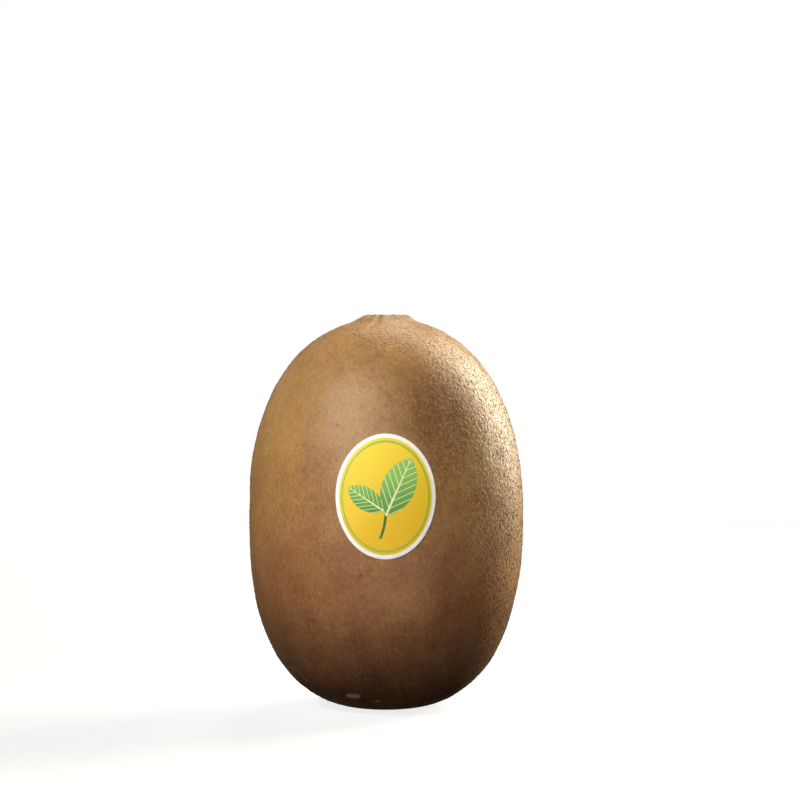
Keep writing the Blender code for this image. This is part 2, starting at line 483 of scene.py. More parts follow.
@dataclass(frozen=True)
class SkinFinish(Finish):
    """Thin suede-like golden-brown skin, mottled, and redder and darker towards the foot, where the
    darkening is mostly painted shade.

    Light flecks, dark pores and a fine nap cover it, with painted shade in the hollows of the grain
    and nap and painted highlight on the nap's ridges. A painted shade darkens one area on the upper
    right of the front, pale strands beside it are painted highlight, the dish round the stem is
    dark, and two small spots low on the front are rubbed pale.
    """

    name: str = "kiwi_skin"
    roughness: float = 0.38
    roughness_range: float = 0.14
    specular: float = 0.50
    sheen: float = 0.13
    sheen_roughness: float = 0.35
    sheen_colour: str = "EBCB95"

    light: str = "B88E50"
    middle: str = "A87D42"
    russet_light: str = "AD784C"
    russet: str = "98633B"
    russet_heights: Span = (62 * MM, 30 * MM)
    russet_unevenness: float = 16 * MM
    patch_width: float = 14 * MM
    # dark colours the random blots and streaks, and also the painted shade in the grain's and nap's
    # hollows.
    dark: str = "6F462B"
    blot_width: float = 3.2 * MM
    blot_share: float = 0.28
    streak_width: float = 1.1 * MM
    streak_share: float = 0.25
    drawn_out: Spot = (1.0, 1.0, 0.75)
    # The foot colour is mostly painted shade: darker and redder where light falls off towards the
    # foot.
    foot: str = "4D281E"
    foot_shade_heights: Span = (31 * MM, 4 * MM)
    foot_shade_unevenness: float = 7 * MM
    foot_shade_share: float = 0.85

    # Painted shade: a dark patch on the upper right of the front, where the lights leave a dark
    # band.
    core_shade: str = "5E2C0C"
    core_shade_place: Spot = (10 * MM, -19 * MM, 55 * MM)
    core_shade_reach: Span = (15 * MM, 3 * MM)
    core_shade_share: float = 0.75
    # Painted highlight: pale fibre-like lines beside the painted shade, where the rim lights graze.
    strand_highlight: str = "CB9C68"
    strand_highlight_place: Spot = (18 * MM, -15 * MM, 49 * MM)
    strand_highlight_reach: Span = (18 * MM, 7 * MM)
    strand_gap: float = 0.85 * MM
    strand_highlight_share: float = 0.42
    combed: Spot = (1.0, 1.0, 0.6)

    cell_width: float = 0.42 * MM
    nap_width: float = 0.52 * MM
    # Painted shade in the grain's and nap's hollows, and painted highlight on the nap's ridges.
    hollow_shade_share: float = 0.22
    low_nap_shade_share: float = 0.14
    ridge_highlight_share: float = 0.12
    # The flecks' own colour, also used as painted highlight on the nap's ridges.
    fleck_and_highlight: str = "D3AE80"
    fleck_gap: float = 0.75 * MM
    fleck_width: float = 0.42 * MM
    fleck_share: float = 0.5
    pore: str = "55381F"
    pore_gap: float = 2.3 * MM
    pore_width: float = 0.62 * MM
    pore_share: float = 0.75

    dish: str = "5E3F22"
    dish_place: Spot = (0.0, -0.2 * MM, 73.8 * MM)
    dish_reach: Span = (4.1 * MM, 3.3 * MM)
    dish_share: float = 0.85
    scuff: str = "C9BBAB"
    scuff_share: float = 0.95
    scuff_places: tuple[tuple[float, float, float, float], ...] = (
        (-6.0 * MM, -14.1 * MM, 3.8 * MM, 0.62 * MM),
        (-1.4 * MM, -13.8 * MM, 2.8 * MM, 0.22 * MM),
    )

    relief: float = 0.06 * MM
    nap_height: float = 1.95
    fleck_height: float = 0.6
    grain_height: float = 0.3
    pore_depth: float = 0.7

    def dress(self, sheet: Sheet, shader: bpy.types.Node) -> None:
        """Colour, roughness and relief of the skin."""
        place = sheet.place()
        drawn_out = sheet.stretched(place, self.drawn_out)
        patches = Mottle.use(sheet, Place=place, Size=self.patch_width, Spread=2.4)["Share"]
        blots = Mottle.use(sheet, Place=place, Size=self.blot_width, Spread=2.0)["Share"]
        streaks = Mottle.use(sheet, Place=drawn_out, Size=self.streak_width, Spread=2.2)["Share"]
        grain = Grain.use(sheet, Place=drawn_out, Size=self.cell_width, Grit=0.9)["Height"]
        nap = sheet.noise(drawn_out, self.nap_width, 1.5, 0.5)
        flecks, pores = self._flecks(sheet, place), self._pores(sheet, place)

        colour = self._ground(sheet, place, patches)
        colour = sheet.tint(colour, self.dark, sheet.ramp(blots, 0.6, 0.0), self.blot_share)
        colour = sheet.tint(colour, self.dark, sheet.ramp(streaks, 0.75, 0.1), self.streak_share)
        # Mostly painted shade: darker towards the foot.
        colour = sheet.tint(colour, self.foot, self._painted_foot_shade(sheet, place, patches), self.foot_shade_share)
        # Painted shade on the upper right of the front.
        core_shade_mask = self._painted_core_shade(sheet, place, blots)
        colour = sheet.tint(colour, self.core_shade, core_shade_mask, self.core_shade_share)
        # Painted highlight in pale strands.
        colour = sheet.tint(colour, self.strand_highlight, self._strand_highlights(sheet, place), self.strand_highlight_share)
        # Painted shade in the hollows and painted highlight on the ridges.
        colour = self._nap_shade_and_highlight(sheet, colour, grain, nap)
        colour = sheet.tint(colour, self.fleck_and_highlight, flecks, self.fleck_share)
        colour = sheet.tint(colour, self.pore, pores, self.pore_share)
        colour = sheet.tint(colour, self.dish, self._in_dish(sheet, place, blots), self.dish_share)
        colour = sheet.tint(colour, self.scuff, self._scuffs(sheet, place), self.scuff_share)
        sheet.feed(shader.inputs["Base Color"], colour)
        self.dull(sheet, shader, blots)

        cells = sheet.math("MULTIPLY", grain, self.grain_height)
        pitted = sheet.math("MULTIPLY_ADD", pores, -self.pore_depth, cells)
        raised = sheet.math("MULTIPLY_ADD", flecks, self.fleck_height, pitted)
        height = sheet.math("MULTIPLY_ADD", nap, self.nap_height, raised)
        sheet.emboss(shader, height, self.relief)

    def _ground(self, sheet: Sheet, place: Source, patches: Source) -> bpy.types.NodeSocket:
        """Golden brown above and russet below, each in two patchy tones."""
        up = sheet.axes(place)[2]
        uneven = sheet.math("MULTIPLY_ADD", patches, self.russet_unevenness, up)
        golden = sheet.mix(patches, ink(self.middle), ink(self.light))
        brown = sheet.mix(patches, ink(self.russet), ink(self.russet_light))
        return sheet.mix(sheet.ramp(uneven, *self.russet_heights), golden, brown)

    def _painted_foot_shade(self, sheet: Sheet, place: Source, patches: Source) -> bpy.types.NodeSocket:
        """Where the skin darkens towards the foot: mostly painted shade where light falls off."""
        up = sheet.axes(place)[2]
        uneven = sheet.math("MULTIPLY_ADD", patches, self.foot_shade_unevenness, up)
        return sheet.ramp(uneven, *self.foot_shade_heights)

    def _painted_core_shade(self, sheet: Sheet, place: Source, blots: Source) -> bpy.types.NodeSocket:
        """Where painted shade darkens the skin on the upper right of the front, with an uneven edge.
        """
        away = sheet.distance(place, self.core_shade_place, (1.0, 1.0, 0.7))
        uneven = sheet.math("MULTIPLY_ADD", blots, 3 * MM, away)
        return sheet.ramp(uneven, *self.core_shade_reach)

    def _strand_highlights(self, sheet: Sheet, place: Source) -> bpy.types.NodeSocket:
        """Painted highlight: thin wavy pale lines round one place, where a field of noise crosses
        its middle.
        """
        waves = sheet.noise(sheet.stretched(place, self.combed), self.strand_gap, 2.0, 0.6)
        off_line = sheet.math("ABSOLUTE", sheet.math("SUBTRACT", waves, 0.5))
        away = sheet.distance(place, self.strand_highlight_place, self.combed)
        near = sheet.ramp(away, *self.strand_highlight_reach)
        return sheet.math("MULTIPLY", sheet.ramp(off_line, 0.05, 0.015), near)

    def _nap_shade_and_highlight(
        self, sheet: Sheet, colour: Source, grain: Source, nap: Source
    ) -> bpy.types.NodeSocket:
        """The colour, with painted shade in the hollows of grain and nap and painted highlight on
        its ridges.
        """
        hollow_shade = sheet.math("MULTIPLY", sheet.ramp(grain, 1.25, 0.9), self.hollow_shade_share)
        low_nap_shade = sheet.ramp(nap, 0.5, 0.3)
        low = sheet.math("MULTIPLY_ADD", low_nap_shade, self.low_nap_shade_share, hollow_shade)
        colour = sheet.mix(low, colour, ink(self.dark))
        return sheet.tint(colour, self.fleck_and_highlight, sheet.ramp(nap, 0.5, 0.72), self.ridge_highlight_share)

    def _flecks(self, sheet: Sheet, place: Source) -> bpy.types.NodeSocket:
        """Where the light flecks are."""
        flecks = Specks.use(
            sheet, Place=place, Spacing=self.fleck_gap, Width=self.fleck_width, Chance=0.55
        )
        return sheet.math("MULTIPLY", flecks["Mask"], flecks["Strength"])

    def _pores(self, sheet: Sheet, place: Source) -> bpy.types.NodeSocket:
        """Where the dark pores are."""
        pores = Specks.use(
            sheet, Place=place, Spacing=self.pore_gap, Width=self.pore_width, Chance=0.42
        )
        return sheet.math("MULTIPLY", pores["Mask"], sheet.ramp(pores["Strength"], 0.0, 0.7))

    def _in_dish(self, sheet: Sheet, place: Source, blots: Source) -> bpy.types.NodeSocket:
        """The dish round the stem, with an uneven edge."""
        away = sheet.distance(place, self.dish_place, (1.0, 1.0, 0.3))
        uneven = sheet.math("MULTIPLY_ADD", blots, 0.5 * MM, away)
        return sheet.ramp(uneven, *self.dish_reach)

    def _scuffs(self, sheet: Sheet, place: Source) -> bpy.types.NodeSocket:
        """Where the skin is rubbed pale: two small ragged spots low on the front."""
        ragged = sheet.math("MULTIPLY", sheet.noise(place, 0.8 * MM, 3.0), 0.5 * MM)
        shares = []
        for *spot, size in self.scuff_places:
            away = sheet.distance(place, spot, (0.42, 0.42, 1.0))
            away = sheet.math("ADD", away, ragged)
            shares.append(sheet.ramp(away, size + 0.3 * MM, size + 0.16 * MM))
        return sheet.math("MAXIMUM", *shares)


@dataclass(frozen=True)
class CorkFinish(Finish):
    """Dry, cracked, corky tissue, from pale tan on its ridges to near black in its cracks."""

    name: str = "scar_cork"
    roughness: float = 0.75
    specular: float = 0.3
    ridge: str = "8E6A41"
    body: str = "5E3E23"
    crack: str = "2B1A0E"
    crack_share: float = 0.65
    patch_width: float = 1.1 * MM
    cell_width: float = 0.32 * MM
    relief: float = 0.08 * MM

    def dress(self, sheet: Sheet, shader: bpy.types.Node) -> None:
        """Colour, roughness and relief of the cork."""
        place = sheet.place()
        patches = Mottle.use(sheet, Place=place, Size=self.patch_width, Spread=3.0)["Share"]
        grain = Grain.use(sheet, Place=place, Size=self.cell_width, Grit=1.2)["Height"]
        colour = sheet.mix(patches, ink(self.body), ink(self.ridge))
        cracks = sheet.ramp(grain, 1.25, 0.85)
        colour = sheet.tint(colour, self.crack, cracks, self.crack_share)
        sheet.feed(shader.inputs["Base Color"], colour)
        self.dull(sheet, shader, patches)
        sheet.emboss(shader, grain, self.relief)


@dataclass(frozen=True)
class StrawFinish(Finish):
    """Dried thread-like plant matter, light and dark in patches."""

    name: str = "dried_straw"
    roughness: float = 0.55
    specular: float = 0.4
    light: str = "8A6236"
    dark: str = "2A190D"
    patch_width: float = 0.6 * MM

    def colour(self, sheet: Sheet, patches: Source) -> bpy.types.NodeSocket:
        """The colour of the threads, from dark to light by the patches."""
        return sheet.mix(patches, ink(self.dark), ink(self.light))

    def dress(self, sheet: Sheet, shader: bpy.types.Node) -> None:
        """Colour and roughness that change from thread to thread."""
        patches = Mottle.use(sheet, Place=sheet.place(), Size=self.patch_width, Spread=2.5)["Share"]
        sheet.feed(shader.inputs["Base Color"], self.colour(sheet, patches))
        self.dull(sheet, shader, patches)


@dataclass(frozen=True)
class DownFinish(StrawFinish):
    """Fine hair of nearly the skin's colour: golden high up and dark low down, the darkening mostly
    painted shade as on the skin.
    """

    name: str = "down_hair"
    roughness: float = 0.35
    specular: float = 0.5
    sheen: float = 0.15
    light: str = "BE925E"
    dark: str = "885C35"
    patch_width: float = 5 * MM
    # low: mostly painted shade towards the foot, following the skin.
    low: str = "5A3A24"
    low_shade_heights: Span = (62 * MM, 12 * MM)
    low_shade_share: float = 0.8

    def colour(self, sheet: Sheet, patches: Source) -> bpy.types.NodeSocket:
        """The colour of the hairs, darkened towards the foot: mostly painted shade, as on the skin.
        """
        colour = super().colour(sheet, patches)
        low_shade = sheet.ramp(sheet.axes(sheet.place())[2], *self.low_shade_heights)
        return sheet.tint(colour, self.low, low_shade, self.low_shade_share)


class Leaf(Effect):
    """One printed leaf: its outline, and the midrib and side veins inside it.

    Its axis runs from the stem end at the given place, turned by the given angle from upright.
    """

    name = "printed_leaf"
    takes = (
        ("Place", "Vector"),
        ("Across", "Float"),
        ("Up", "Float"),
        ("Turn", "Float"),
        ("Length", "Float"),
    )
    gives = (("Outline", "Float"), ("Veins", "Float"))
    circle_offset = 0.34
    circle_radius = 0.605
    soft_edge = 0.007
    vein_slant = 1.1
    half_vein_gap = 0.065
    half_vein_width: Span = (0.011, 0.005)
    half_rib_width = 0.02
    rib_taper = 0.016
    rib_edge = 0.004

    @classmethod
    def draw(cls, sheet: Sheet, given: bpy.types.NodeOutputs) -> dict[str, Source]:
        """A lens shape from two circles, with ribs that slant towards its tip.

        Its measures are shares of the leaf's length.
        """
        parts = sheet.axes(given["Place"])
        x = sheet.math("SUBTRACT", parts[0], given["Across"])
        y = sheet.math("SUBTRACT", parts[1], given["Up"])
        cos = sheet.math("COSINE", given["Turn"])
        sin = sheet.math("SINE", given["Turn"])
        side = sheet.math(
            "SUBTRACT", sheet.math("MULTIPLY", x, cos), sheet.math("MULTIPLY", y, sin)
        )
        along = sheet.math("ADD", sheet.math("MULTIPLY", x, sin), sheet.math("MULTIPLY", y, cos))
        side = sheet.math("DIVIDE", side, given["Length"])
        along = sheet.math("DIVIDE", along, given["Length"])
        off_axis = sheet.math("ABSOLUTE", side)

        centred = sheet.math("SUBTRACT", along, 0.5)
        bow = sheet.math("POWER", sheet.math("ABSOLUTE", centred), 2.0)
        reach = sheet.math("ADD", off_axis, cls.circle_offset)
        far = sheet.math("SQRT", sheet.math("ADD", sheet.math("POWER", reach, 2.0), bow))
        outer, inner = cls.circle_radius + cls.soft_edge, cls.circle_radius - cls.soft_edge
        outline = sheet.ramp(far, outer, inner)

        slant = sheet.math("MULTIPLY_ADD", off_axis, -cls.vein_slant, along)
        wave = sheet.math("PINGPONG", slant, cls.half_vein_gap)
        side_veins = sheet.ramp(wave, *cls.half_vein_width)
        taper = sheet.math("MULTIPLY_ADD", along, -cls.rib_taper, cls.half_rib_width)
        past_rib = sheet.math("SUBTRACT", off_axis, taper)
        rib = sheet.ramp(past_rib, cls.rib_edge, -cls.rib_edge)
        veins = sheet.math("MAXIMUM", rib, side_veins)
        return {"Outline": outline, "Veins": sheet.math("MULTIPLY", veins, outline)}


@dataclass(frozen=True)
class LabelFinish(Finish):
    """Coated paper printed with a green ring and a sprig of two leaves on yellow, in a white rim.

    The pattern lies on the label's flat map, whose units are half the label's height. The aspect is
    the label's width over its height. Each leaf is given by the place of its stem end across and up,
    its turn and its length.
    """

    name: str = "label_print"
    roughness: float = 0.5
    roughness_range: float = 0.12
    specular: float = 0.5
    coat: float = 0.08
    coat_roughness: float = 0.35
    paper: str = "FBFAF6"
    field: str = "F3D222"
    field_shade: str = "EDBE14"
    ring: str = "8DBB3C"
    leaf: str = "8CC152"
    leaf_shade: str = "4E9138"
    vein: str = "E9F2B8"
    stem: str = "2F6B2C"
    aspect: float = 0.79
    rim: float = 0.09
    ring_gap: float = 0.045
    ring_width: float = 0.03
    soft_edge: float = 0.005
    leaves: tuple[tuple[float, float, float, float], ...] = (
        (0.0, -0.3, 0.42, 0.98),
        (-0.03, -0.22, -0.98, 0.66),
    )
    stalk_start: float = -0.26
    stalk_bow: float = 0.55
    half_stalk_width: Span = (0.026, 0.016)
    stalk_foot: Span = (-0.66, -0.645)
    stalk_top: Span = (-0.2, -0.22)
    tooth_width: float = 0.25 * MM
    relief: float = 0.01 * MM
    map_name: str = "flat"

    def dress(self, sheet: Sheet, shader: bpy.types.Node) -> None:
        """The print, its gloss and the paper's faint tooth."""
        flat = sheet.add("UVMap", uv_map=self.map_name).outputs[0]
        parts = sheet.axes(flat)
        x, y = parts[0], parts[1]
        rounded = sheet.math("DIVIDE", x, self.aspect)
        from_middle = sheet.math(
            "SQRT",
            sheet.math("ADD", sheet.math("POWER", rounded, 2.0), sheet.math("POWER", y, 2.0)),
        )
        edge = sheet.math("SUBTRACT", 1.0, from_middle)

        blend = sheet.ramp(y, 0.9, -0.9)
        colour = sheet.mix(blend, ink(self.field), ink(self.field_shade))
        ring_start = self.rim + self.ring_gap
        inside = self._past(sheet, edge, ring_start)
        outside = self._past(sheet, edge, ring_start + self.ring_width)
        in_ring = sheet.math("SUBTRACT", inside, outside)
        colour = sheet.mix(in_ring, colour, ink(self.ring))

        stalk = self._stalk(sheet, x, y)
        colour = sheet.mix(stalk, colour, ink(self.stem))
        for across, up, turn, length in self.leaves:
            leaf = Leaf.use(sheet, Place=flat, Across=across, Up=up, Turn=turn, Length=length)
            shade = sheet.ramp(y, -0.4, 0.5)
            green = sheet.mix(shade, ink(self.leaf_shade), ink(self.leaf))
            green = sheet.mix(leaf["Veins"], green, ink(self.vein))
            colour = sheet.mix(leaf["Outline"], colour, green)

        colour = sheet.mix(self._past(sheet, edge, self.rim), ink(self.paper), colour)
        sheet.feed(shader.inputs["Base Color"], colour)

        tooth = sheet.noise(sheet.place(), self.tooth_width, 3.0, 0.6)
        self.dull(sheet, shader, tooth)
        sheet.emboss(shader, tooth, self.relief, 0.5)

    def _past(self, sheet: Sheet, edge: Source, line: float) -> bpy.types.NodeSocket:
        """1 where it is farther from the label's edge than a line, with a soft step."""
        return sheet.ramp(edge, line - self.soft_edge, line + self.soft_edge)

    def _stalk(self, sheet: Sheet, x: Source, y: Source) -> bpy.types.NodeSocket:
        """A short curved stalk that runs down from where the leaves meet."""
        down = sheet.math("SUBTRACT", self.stalk_start, y)
        bow = sheet.math("MULTIPLY", sheet.math("POWER", down, 2.0), self.stalk_bow)
        off_line = sheet.math("ABSOLUTE", sheet.math("ADD", x, bow))
        line = sheet.ramp(off_line, *self.half_stalk_width)
        low_end = sheet.ramp(y, *self.stalk_foot)
        top_end = sheet.ramp(y, *self.stalk_top)
        return sheet.math("MULTIPLY", line, sheet.math("MULTIPLY", low_end, top_end))


@dataclass(frozen=True)
class PaleFinish(Finish):
    """The plain pale surface of the studio's floor."""

    name: str = "pale_floor"
    roughness: float = 0.9
    specular: float = 0.1
    colour: str = "9A9996"
    # The glow is lower near the fruit as painted shade, and even far off.
    shaded_near_glow: float = 0.80
    far_glow: float = 1.0
    near: float = 0.06
    far: float = 0.7

    def dress(self, sheet: Sheet, shader: bpy.types.Node) -> None:
        """A matt white that glows like a light table, evenly far off and a little less under the
        fruit as painted shade.
        """
        away = sheet.distance(sheet.place(), (0.0, 0.0, 0.0), (1.0, 1.0, 1.0))
        share = sheet.ramp(away, self.near, self.far)
        glow = (*(self.shaded_near_glow,) * 3, 1.0), (*(self.far_glow,) * 3, 1.0)
        sheet.feed(shader.inputs["Base Color"], ink(self.colour))
        sheet.feed(shader.inputs["Roughness"], self.roughness)
        sheet.feed(shader.inputs["Emission Color"], sheet.mix(share, *glow))
        sheet.feed(shader.inputs["Emission Strength"], 1.0)


# ---------------------------------------------------------------------------------------------
# The fruit
# ---------------------------------------------------------------------------------------------


@dataclass(frozen=True)
class FruitForm:
    """The outline that the fruit is turned from, and how the grown fruit strays from it.

    Half of one superellipse lies above the widest ring and half of another below it.
    """

    half_width: float = 26.0 * MM
    half_depth: float = 25.0 * MM
    equator: float = 39.2 * MM
    upper_reach: float = 34.5 * MM
    upper_around: float = 2.25
    upper_along: float = 2.06
    lower_around: float = 2.65
    lower_along: float = 2.68
    foot_radius: float = 6.6 * MM
    foot_blend: float = 0.25 * MM
    pit_radius: float = 2.6 * MM
    pit_depth: float = 0.7 * MM
    collar_crest: float = 3.7 * MM
    collar_foot: float = 6.6 * MM
    collar_rise: float = 0.80 * MM
    dish_radius: float = 3.4 * MM
    dish_floor: float = 2.3 * MM
    dish_depth: float = 1.15 * MM
    bow: float = 0.45 * MM
    flatter_sides: float = 0.006
    three_lobes: float = 0.004
    lobe_turn: float = math.radians(35)
    stem_end_points: int = 15
    flank_points: int = 25
    pit_points: int = 6
    folds: Waves = ((1.0, 9, 0.7), (0.8, 13, 2.1), (0.6, 21, 4.0))
    upper_fold_height: float = 0.055 * MM
    lower_fold_height: float = 0.03 * MM
    crest_waves: Waves = ((0.6, 2, 1.7), (0.5, 5, 2.6), (0.4, 8, 2.0))
    crest_radius: float = 3.9 * MM
    crest_unevenness: float = 0.12 * MM
    flat_foot_height: float = 0.6 * MM

    def upper_height(self, radius: float) -> float:
        """Height above the foot of the upper superellipse at this radius."""
        inside = 1 - (radius / self.half_width) ** self.upper_around
        return self.equator + self.upper_reach * max(inside, 0.0) ** (1 / self.upper_along)

    def stem_end_height(self, radius: float) -> float:
        """Height above the foot of the stem end, with its collar and dish."""
        collar = self.collar_rise * smooth_fall(radius, self.collar_crest, self.collar_foot)
        dish = self.dish_depth * smooth_fall(radius, self.dish_floor, self.dish_radius)
        return self.upper_height(radius) + float(collar - dish)

    def lower_radius(self, height: float) -> float:
        """Radius of the lower superellipse at this height above the foot."""
        cut = 1 - (self.foot_radius / self.half_width) ** self.lower_around
        reach = self.equator / cut ** (1 / self.lower_along)
        inside = 1 - ((self.equator - height) / reach) ** self.lower_along
        return self.half_width * inside ** (1 / self.lower_around)

    def outline(self) -> list[Vector]:
        """The points of the turned outline, from the middle of the dish to that of the pit."""
        points = [
            (radius, self.stem_end_height(radius))
            for radius in np.linspace(0.0, self.collar_foot, self.stem_end_points)
        ]
        start = math.asin((self.collar_foot / self.half_width) ** (self.upper_around / 2))
        for turn in np.linspace(start, math.pi / 2, self.flank_points)[1:-1]:
            radius = self.half_width * math.sin(turn) ** (2 / self.upper_around)
            points.append((radius, self.upper_height(radius)))
        lowest = -self.foot_blend
        for turn in np.linspace(0.0, math.pi / 2, self.flank_points):
            height = lowest + (self.equator - lowest) * (1 - math.sin(turn))
            rounded = height
            if height < self.foot_blend:
                rounded = (height + self.foot_blend) ** 2 / (4 * self.foot_blend)
            points.append((self.lower_radius(height), rounded))
        points.append(((points[-1][0] + self.pit_radius) / 2, 0.0))
        for share in np.linspace(1.0, 0.0, self.pit_points):
            points.append((self.pit_radius * share, self.pit_depth * (1 - share**2)))
        return [Vector((radius, 0.0, height)) for radius, height in points]

    def grown(self, points: np.ndarray) -> np.ndarray:
        """Where points of the turned form lie on the grown one: oval, lobed and bowed back."""
        around = np.arctan2(points[:, 1], points[:, 0])
        share = np.clip(points[:, 2] / (2 * self.equator), 0.0, 1.0)
        middle = np.sin(math.pi * share) ** 2
        lobes = self.flatter_sides * np.cos(2 * (around - self.lobe_turn))
        lobes += self.three_lobes * np.cos(3 * around + self.lobe_turn)
        radius = np.hypot(points[:, 0], points[:, 1]) * (1 + lobes * middle)
        across = radius * np.cos(around)
        back = radius * np.sin(around) * self.half_depth / self.half_width
        return np.column_stack((across, back + self.bow * (middle - 0.5), points[:, 2]))

    def puckered(self, points: np.ndarray) -> np.ndarray:
        """Adds the folds that gather towards both ends, and the uneven crest of the collar."""
        around = np.arctan2(points[:, 1], points[:, 0])
        radius = np.hypot(points[:, 0], points[:, 1])
        near = smooth_fall(radius, 5.0 * MM, 10.5 * MM)
        near = near * (1 - smooth_fall(radius, 1.0 * MM, 4.4 * MM))
        upper = points[:, 2] > self.equator
        height = np.where(upper, self.upper_fold_height, self.lower_fold_height)
        shift = height * rippled(around, self.folds) * near
        on_crest = smooth_fall(np.abs(radius - self.crest_radius), 0.2 * MM, 1.5 * MM) * upper
        shift += self.crest_unevenness * on_crest * rippled(around, self.crest_waves)
        moved = points.copy()
        above_foot = np.where(points[:, 2] > self.flat_foot_height, 1.0, 0.0)
        outward = np.where(upper, 1.0, -1.0) * above_foot
        moved[:, 2] += shift * outward
        return moved


@dataclass
class Fruit:
    """The skin of the fruit, turned from its outline and roughened as grown skin is.

    Each swelling is given by its width and by its height from lowest to highest.
    """

    form: FruitForm
    finish: SkinFinish
    turns: int = 80
    fineness: int = 2
    swellings: tuple[tuple[float, float], ...] = (
        (15 * MM, 0.45 * MM),
        (4.0 * MM, 0.12 * MM),
        (1.4 * MM, 0.035 * MM),
    )

    def build(self) -> bpy.types.Object:
        """Makes the skin.

        Returns:
            The finished piece, which stands for the solid of the fruit.
        """
        skin = self._turned()
        move_points(skin, self.form.grown(points_of(skin)))
        work(skin, "SUBSURF", levels=self.fineness, render_levels=self.fineness)
        move_points(skin, self.form.puckered(points_of(skin)))
        foot = points_of(skin)[:, 2].copy()
        for width, height in self.swellings:
            roughen(skin, width, height)
        self._flatten_foot(skin, foot)
        skin.data.shade_smooth()
        self.finish.on(skin)
        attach(skin, BODY)
        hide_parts("kiwi_fruit")
        return skin

    def _turned(self) -> bpy.types.Object:
        """A point drawn out along the outline and spun round the fruit's axis."""
        outline = self.form.outline()
        bpy.ops.mesh.primitive_plane_add(size=MM, location=(0, 0, 0))
        skin = named("skin")
        with editing(skin):
            bpy.ops.mesh.merge(type="CENTER")
            bpy.ops.transform.translate(value=outline[0])
            for before, after in zip(outline, outline[1:]):
                step = {"value": after - before}
                bpy.ops.mesh.extrude_region_move(TRANSFORM_OT_translate=step)
            bpy.ops.mesh.select_all(action="SELECT")
            bpy.ops.mesh.spin(
                steps=self.turns, angle=FULL_TURN, center=(0, 0, 0), axis=(0, 0, 1)
            )
            bpy.ops.mesh.select_all(action="SELECT")
            bpy.ops.mesh.remove_doubles(threshold=0.005 * MM)
            bpy.ops.mesh.normals_make_consistent(inside=False)
        return skin

    @staticmethod
    def _flatten_foot(skin: bpy.types.Object, heights: np.ndarray) -> None:
        """Puts the foot back at the height it had, so that the fruit stands flat."""
        points = points_of(skin)
        low = smooth_fall(heights, 0.3 * MM, 2.0 * MM)
        points[:, 2] = points[:, 2] * (1 - low) + heights * low
        points[:, 2] = np.maximum(points[:, 2], 0.0)
        move_points(skin, points)


@dataclass(frozen=True)
class Thread:
    """The shape of one hair or dried thread: a bent, tapered spike a unit long."""

    thickness: float
    arch: float
    sway: float = 0.06
    belly: float = 1.2
    sides: int = 3
    steps: int = 2

    def build(self) -> bpy.types.Object:
        """A cone laid along X from the origin, cut across into steps, bellied and arched."""
        bpy.ops.mesh.primitive_cone_add(
            vertices=self.sides,
            radius1=self.thickness / 2,
            radius2=0.0,
            depth=1.0,
            end_fill_type="NGON",
            location=(0.5, 0, 0),
            rotation=(0, math.pi / 2, 0),
        )
        thread = named("thread")
        settle(thread)
        for step in range(1, self.steps):
            with editing(thread):
                bpy.ops.mesh.bisect(plane_co=(step / self.steps, 0, 0), plane_no=(1, 0, 0))
        points = points_of(thread)
        along = points[:, 0].copy()
        bulge = 1 + self.belly * along * (1 - along)
        points[:, 1] = points[:, 1] * bulge + self.sway * np.sin(math.pi * along)
        points[:, 2] = points[:, 2] * bulge + self.arch * np.sin(0.8 * math.pi * along)
        move_points(thread, points)
        return thread


def upright_frames(
    roots: np.ndarray, outward: np.ndarray, heading: np.ndarray, sizes: np.ndarray
) -> np.ndarray:
    """The matrices that set unit threads on a surface.

    Args:
        roots: Where each thread starts.
        outward: The surface's normal there.
        heading: Roughly the way that each one runs.
        sizes: Each one's length, width and height, as three columns.

    Returns:
        One 4 by 4 matrix for each thread.
    """
    along = heading - outward * np.sum(heading * outward, axis=1, keepdims=True)
    along /= np.linalg.norm(along, axis=1, keepdims=True)
    side = np.cross(outward, along)
    places = np.zeros((len(roots), 4, 4))
    places[:, :3, 0] = along * sizes[:, 0:1]
    places[:, :3, 1] = side * sizes[:, 1:2]
    places[:, :3, 2] = outward * sizes[:, 2:3]
    places[:, :3, 3] = roots
    places[:, 3, 3] = 1.0
    return places


